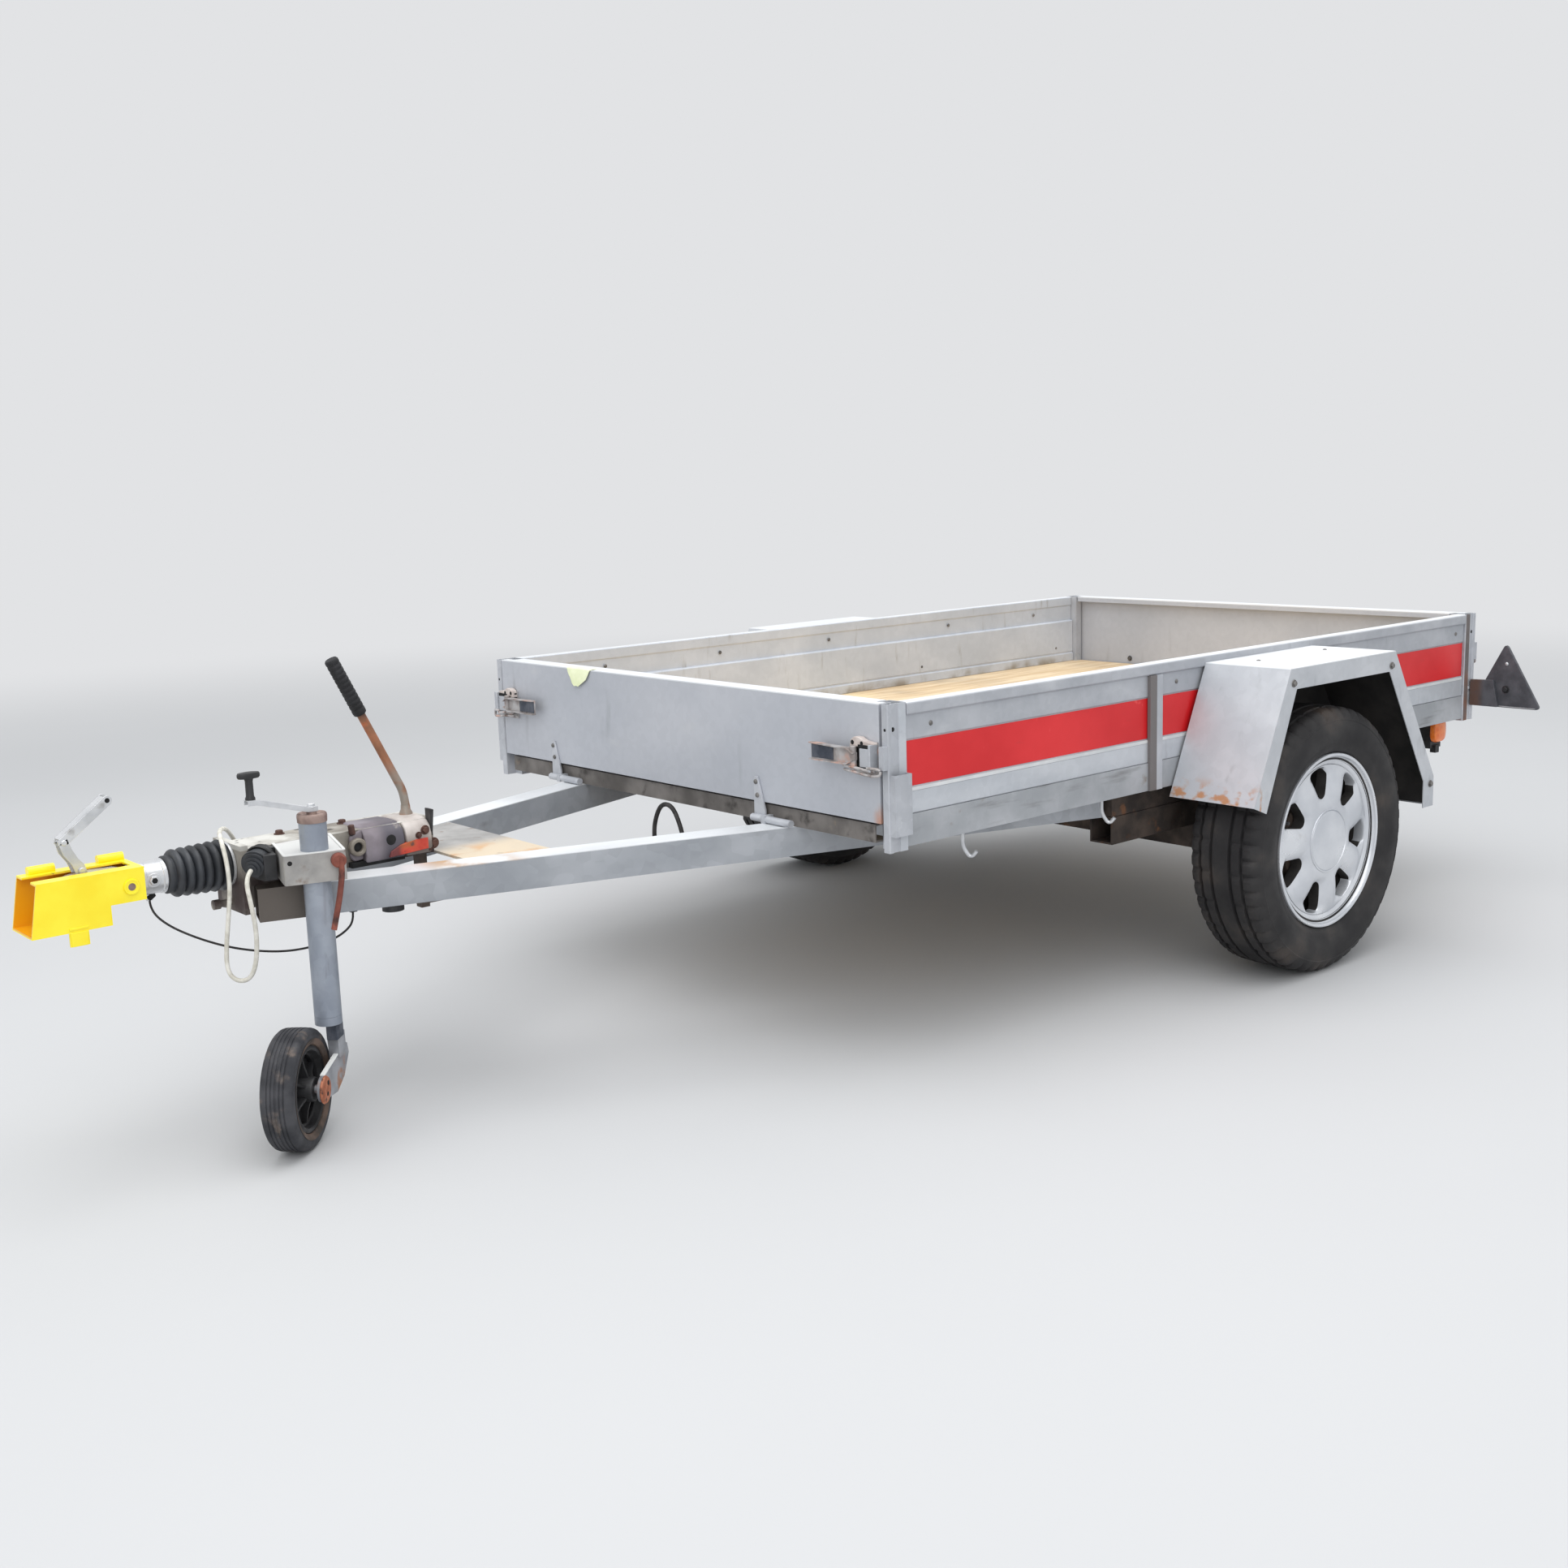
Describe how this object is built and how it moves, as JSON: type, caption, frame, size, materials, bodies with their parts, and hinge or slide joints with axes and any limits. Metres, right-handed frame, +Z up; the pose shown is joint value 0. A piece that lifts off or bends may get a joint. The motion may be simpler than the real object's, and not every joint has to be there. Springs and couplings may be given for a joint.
{
  "type": "utility trailer",
  "caption": "Low-sided braked utility trailer with drop gates, V drawbar, overrun coupling in a lock box, jockey wheel and angular mudguards.",
  "frame": {"origin": "on the ground, at the middle of the overall length and width", "axes": "+X forward along the drawbar to the coupling, +Y to the trailer's left, +Z up"},
  "size_m": [3.527, 1.78, 0.8356],
  "materials": {
    "sheet_metal": "satin, stained bluish-grey sheet",
    "galvanised_steel": "galvanised, dull, rust in the corners",
    "rusty_steel": "rusty bare steel",
    "zinc_steel": "zinc plated, bright",
    "housing_paint": "worn grey-beige paint",
    "yellow_paint": "lemon yellow paint",
    "plywood": "pale weathered plywood",
    "tyre_rubber": "road rubber",
    "black_rubber": "pleated rubber",
    "alloy": "silver lacquered cast wheel",
    "black_plastic": "moulded plastic",
    "lamp_plastic": "red and amber lamp lens",
    "reflector_plastic": "red prismatic reflector",
    "plate_white": "blank white plate",
    "beige_cable": "cable sheath",
    "dark_cable": "cable sheath"
  },
  "bodies": {
    "trailer": {"side_sills": "galvanised_steel", "end_sills": "galvanised_steel", "cross_members": "galvanised_steel", "floor_board": "plywood", "side_panel_left": "sheet_metal", "side_panel_right": "sheet_metal", "side_posts": "galvanised_steel", "corner_posts": "galvanised_steel", "stake_pockets": "galvanised_steel", "hinge_lugs": "galvanised_steel", "gate_catches": "zinc_steel", "mudguard_left": "galvanised_steel", "mudguard_right": "galvanised_steel", "drawbar_arm_left": "galvanised_steel", "drawbar_arm_right": "galvanised_steel", "arm_feet": "black_plastic", "drawbar_gusset": "galvanised_steel", "overrun_housing": "housing_paint", "coupling_shaft": "zinc_steel", "gaiter": "black_rubber", "coupling_head": "zinc_steel", "coupling_handle": "zinc_steel", "lock_box": "yellow_paint", "handbrake_housing": "housing_paint", "handbrake_lever": "rusty_steel", "handbrake_grip": "black_plastic", "brake_rod": "rusty_steel", "chassis_beams": "rusty_steel", "beam_spacers": "galvanised_steel", "axle_tube": "galvanised_steel", "swing_arms": "rusty_steel", "jockey_clamp": "galvanised_steel", "clamp_handle": "rusty_steel", "rear_lamps": "lamp_plastic", "rear_reflectors": "reflector_plastic", "number_plate": "plate_white", "trailer_cable": "beige_cable", "breakaway_cable": "dark_cable", "wiring_conduit": "dark_cable", "connector_plug": "black_plastic", "cable_fittings": "black_plastic", "tie_hooks": "rusty_steel"},
    "front_gate": {"front_gate_panel": "sheet_metal", "front_gate_hinges": "galvanised_steel", "front_gate_latches": "zinc_steel"},
    "rear_gate": {"rear_gate_panel": "sheet_metal", "rear_gate_hinges": "galvanised_steel", "rear_gate_latches": "zinc_steel"},
    "jockey_leg": {"jockey_tube": "galvanised_steel", "jockey_crank": "rusty_steel", "jockey_grip": "black_plastic"},
    "jockey_swivel": {"jockey_fork": "galvanised_steel"},
    "jockey_wheel": {"jockey_tyre": "black_rubber", "jockey_hub": "black_plastic"},
    "wheel_left": {"tyre_left": "tyre_rubber", "rim_left": "alloy", "brake_drum_left": "rusty_steel"},
    "wheel_right": {"tyre_right": "tyre_rubber", "rim_right": "alloy", "brake_drum_right": "rusty_steel"}
  },
  "joints": [
    {"name": "front_gate_hinge", "type": "hinge", "parent": "trailer", "child": "front_gate", "pos_m": [0.4285, 0, 0.458], "axis": [0, 1, 0], "range_deg": [0, 90]},
    {"name": "rear_gate_hinge", "type": "hinge", "parent": "trailer", "child": "rear_gate", "pos_m": [-1.7415, 0, 0.458], "axis": [0, -1, 0], "range_deg": [0, 175]},
    {"name": "jockey_lift", "type": "slide", "parent": "trailer", "child": "jockey_leg", "axis": [0, 0, 1], "range_m": [0, 0.12]},
    {"name": "jockey_turn", "type": "hinge", "parent": "jockey_leg", "child": "jockey_swivel", "pos_m": [1.3105, 0.156, 0.2], "axis": [0, 0, 1], "continuous": true},
    {"name": "jockey_roll", "type": "hinge", "parent": "jockey_swivel", "child": "jockey_wheel", "pos_m": [1.39005, 0.17827, 0.1075], "axis": [-0.7071, 0.7071, 0], "continuous": true},
    {"name": "wheel_left_spin", "type": "hinge", "parent": "trailer", "child": "wheel_left", "pos_m": [-0.7415, 0.794, 0.298], "axis": [0, 1, 0], "continuous": true},
    {"name": "wheel_right_spin", "type": "hinge", "parent": "trailer", "child": "wheel_right", "pos_m": [-0.7415, -0.794, 0.298], "axis": [0, 1, 0], "continuous": true}
  ]
}
